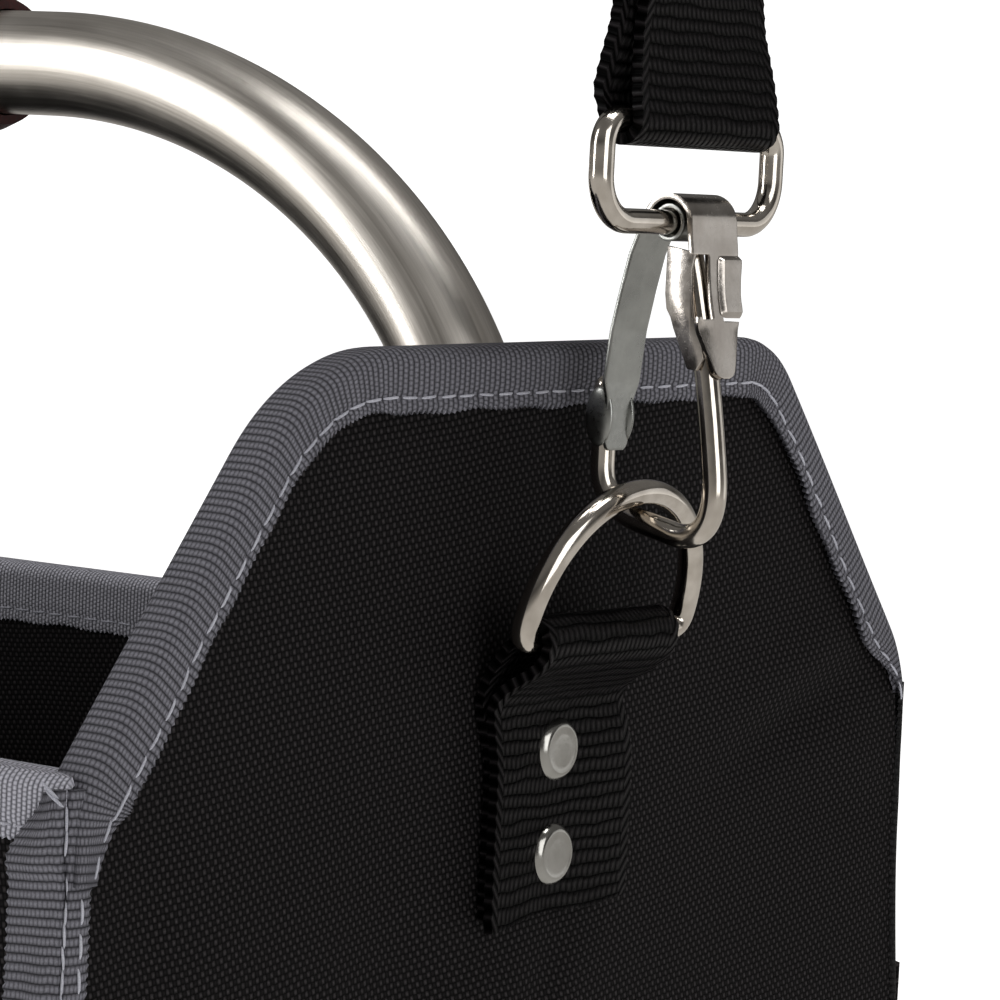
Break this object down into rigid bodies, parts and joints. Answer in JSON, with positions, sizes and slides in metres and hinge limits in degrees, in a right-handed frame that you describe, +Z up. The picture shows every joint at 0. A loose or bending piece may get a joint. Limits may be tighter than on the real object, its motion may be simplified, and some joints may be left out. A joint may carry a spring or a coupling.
{
  "type": "tool tote bag",
  "caption": "Open-top fabric tool tote with a bent tubular handle, grey bound edges, raised end panels and a clip-on shoulder strap on snap hooks.",
  "frame": {"origin": "floor plane under the middle of the bag: X and Y are the bag's middle, Z = 0 is the underside of the feet", "axes": "+X along the bag and its handle towards the right end, +Y across the bag towards the back wall with the open pocket, +Z up"},
  "size_m": [0.4578, 0.2562, 0.6515],
  "materials": {
    "black_fabric": "heavy woven polyester, matt",
    "black_webbing": "ribbed webbing, faint sheen",
    "grey_tape": "ribbed binding tape",
    "stainless": "lengthwise brushed",
    "nickel": "nickel plated, bright",
    "spring_steel": "matt grey spring steel",
    "grip_foam": "dark foam, satin",
    "black_plastic": "moulded",
    "board": "matt sheet"
  },
  "bodies": {
    "bag": {"base_panel": "black_fabric", "base_board": "board", "back_right_foot": "black_plastic", "front_right_foot": "black_plastic", "back_left_foot": "black_plastic", "front_left_foot": "black_plastic", "base_binding": "grey_tape", "front_wall": "black_fabric", "back_wall": "black_fabric", "front_rim_binding": "grey_tape", "back_rim_binding": "grey_tape", "front_right_corner_tape": "grey_tape", "front_left_corner_tape": "grey_tape", "back_right_corner_tape": "grey_tape", "back_left_corner_tape": "grey_tape", "front_pocket": "black_fabric", "zip_tape_upper": "black_webbing", "zip_tape_lower": "black_webbing", "zip_teeth": "black_plastic", "zip_right_stop": "nickel", "zip_left_stop": "nickel", "back_pocket": "black_fabric", "back_pocket_binding": "grey_tape", "handle_tube": "stainless", "handle_grip": "grip_foam", "right_end_panel": "black_fabric", "left_end_panel": "black_fabric", "right_end_binding": "grey_tape", "left_end_binding": "grey_tape", "right_handle_sleeve": "black_fabric", "left_handle_sleeve": "black_fabric", "right_tab": "black_webbing", "left_tab": "black_webbing", "right_upper_rivet": "nickel", "left_upper_rivet": "nickel", "right_lower_rivet": "nickel", "left_lower_rivet": "nickel"},
    "right_ring": {"right_d_ring": "nickel"},
    "left_ring": {"left_d_ring": "nickel"},
    "strap": {"strap_webbing": "black_webbing"},
    "right_link": {"right_link_ring": "nickel"},
    "left_link": {"left_link_ring": "nickel"},
    "right_hook": {"right_hook_body": "nickel", "right_hook_clamp": "nickel"},
    "left_hook": {"left_hook_body": "nickel", "left_hook_clamp": "nickel"},
    "right_gate": {"right_hook_gate": "spring_steel"},
    "left_gate": {"left_hook_gate": "spring_steel"},
    "adjuster": {"strap_slider": "black_plastic"},
    "pad": {"shoulder_pad": "black_fabric", "right_pad_loop": "black_webbing", "left_pad_loop": "black_webbing"},
    "slider": {"zip_slider": "nickel"},
    "pull": {"zip_pull": "nickel"}
  },
  "joints": [
    {"name": "right_ring_swing", "type": "hinge", "parent": "bag", "child": "right_ring", "pos_m": [0.207, 0, 0.2145], "axis": [0, 1, 0], "range_deg": [-1, 5]},
    {"name": "left_ring_swing", "type": "hinge", "parent": "bag", "child": "left_ring", "pos_m": [-0.207, 0, 0.2145], "axis": [0, -1, 0], "range_deg": [-1, 5]},
    {"name": "strap_swing", "type": "hinge", "parent": "bag", "child": "strap", "pos_m": [0, 0, 0.2331], "axis": [1, 0, 0], "range_deg": [-40, 40]},
    {"name": "right_link_swing", "type": "hinge", "parent": "strap", "child": "right_link", "pos_m": [0.21889, 0, 0.29569], "axis": [0, 1, 0], "range_deg": [-0.5, 1.5]},
    {"name": "left_link_swing", "type": "hinge", "parent": "strap", "child": "left_link", "pos_m": [-0.21889, 0, 0.29569], "axis": [0, -1, 0], "range_deg": [-0.5, 1.5]},
    {"name": "right_hook_swing", "type": "hinge", "parent": "right_link", "child": "right_hook", "pos_m": [0.21889, 0, 0.28019], "axis": [0, 1, 0], "range_deg": [-0.5, 2.5]},
    {"name": "left_hook_swing", "type": "hinge", "parent": "left_link", "child": "left_hook", "pos_m": [-0.21889, 0, 0.28019], "axis": [0, -1, 0], "range_deg": [-0.5, 2.5]},
    {"name": "right_gate_open", "type": "hinge", "parent": "right_hook", "child": "right_gate", "pos_m": [0.21889, 0, 0.28019], "axis": [0, -1, 0], "range_deg": [0, 12], "stiffness_Nm_per_rad": 0.03, "springref_deg": -8.59},
    {"name": "left_gate_open", "type": "hinge", "parent": "left_hook", "child": "left_gate", "pos_m": [-0.21889, 0, 0.28019], "axis": [0, 1, 0], "range_deg": [0, 12], "stiffness_Nm_per_rad": 0.03, "springref_deg": -8.59},
    {"name": "adjuster_slide", "type": "slide", "parent": "strap", "child": "adjuster", "axis": [0, 0, 1], "range_m": [-0.024, 0.018]},
    {"name": "pad_slide", "type": "hinge", "parent": "strap", "child": "pad", "pos_m": [0, 0, 0.43069], "axis": [0, 1, 0], "range_deg": [-18, 18]},
    {"name": "zip_run", "type": "slide", "parent": "bag", "child": "slider", "axis": [1, 0, 0], "range_m": [-0.038, 0.298]},
    {"name": "pull_flip", "type": "hinge", "parent": "slider", "child": "pull", "pos_m": [-0.13, -0.11961, 0.1836], "axis": [-1, 0, 0], "range_deg": [0, 150]}
  ]
}
